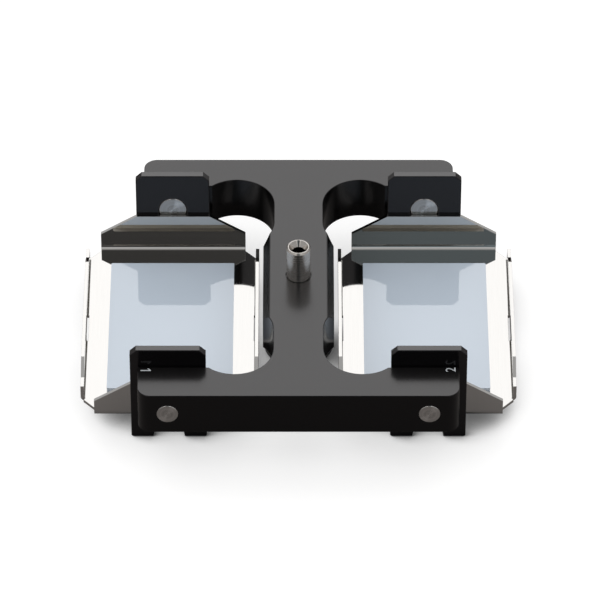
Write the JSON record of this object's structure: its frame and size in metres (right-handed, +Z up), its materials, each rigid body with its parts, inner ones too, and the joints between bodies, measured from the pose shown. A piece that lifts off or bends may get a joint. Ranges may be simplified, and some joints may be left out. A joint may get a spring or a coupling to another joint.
{
  "type": "microplate swing-out rotor",
  "caption": "H-shaped swing-out rotor: steel trays with pads for microplates hang on pins between its bars, and a central sleeve takes the drive shaft.",
  "frame": {"origin": "on the shaft's axis, at the level of the hub's foot, under the middle of the rotor", "axes": "+Z up along the shaft's axis, +X across the two buckets towards bucket 2, +Y along the swing axes towards the back bar"},
  "size_m": [0.2954, 0.247, 0.0895],
  "materials": {
    "black_anodised": "satin black anodised, fine grain",
    "black_plate": "black anodised plate, cut edges slightly paler",
    "turned_steel": "turned stainless steel with fine lathe rings",
    "plain_aluminium": "turned natural aluminium",
    "screw_steel": "plain stainless screws",
    "polished_sheet": "mirror-polished stainless sheet",
    "pad": "pale blue-grey semi-gloss rubber"
  },
  "bodies": {
    "rotor": {"rotor_body": "black_anodised", "hub_sleeve": "turned_steel", "drive_hub": "plain_aluminium", "hub_screws": "screw_steel", "pin_lock_screws": "screw_steel", "trunnion_pin_1_front": "turned_steel", "trunnion_pin_1_back": "turned_steel", "trunnion_pin_2_front": "turned_steel", "trunnion_pin_2_back": "turned_steel"},
    "bucket_1": {"bucket_1_tray": "polished_sheet", "bucket_1_mat": "pad", "bucket_1_hanger_front": "black_plate", "bucket_1_hanger_back": "black_plate", "bucket_1_screws_front": "screw_steel", "bucket_1_screws_back": "screw_steel"},
    "bucket_2": {"bucket_2_tray": "polished_sheet", "bucket_2_mat": "pad", "bucket_2_hanger_front": "black_plate", "bucket_2_hanger_back": "black_plate", "bucket_2_screws_front": "screw_steel", "bucket_2_screws_back": "screw_steel"}
  },
  "joints": [
    {"name": "bucket_1_swing", "type": "hinge", "parent": "rotor", "child": "bucket_1", "pos_m": [-0.0875, 0, 0.04775], "axis": [0, 1, 0], "range_deg": [-4, 90]},
    {"name": "bucket_2_swing", "type": "hinge", "parent": "rotor", "child": "bucket_2", "pos_m": [0.0875, 0, 0.04775], "axis": [0, -1, 0], "range_deg": [-4, 90]}
  ]
}
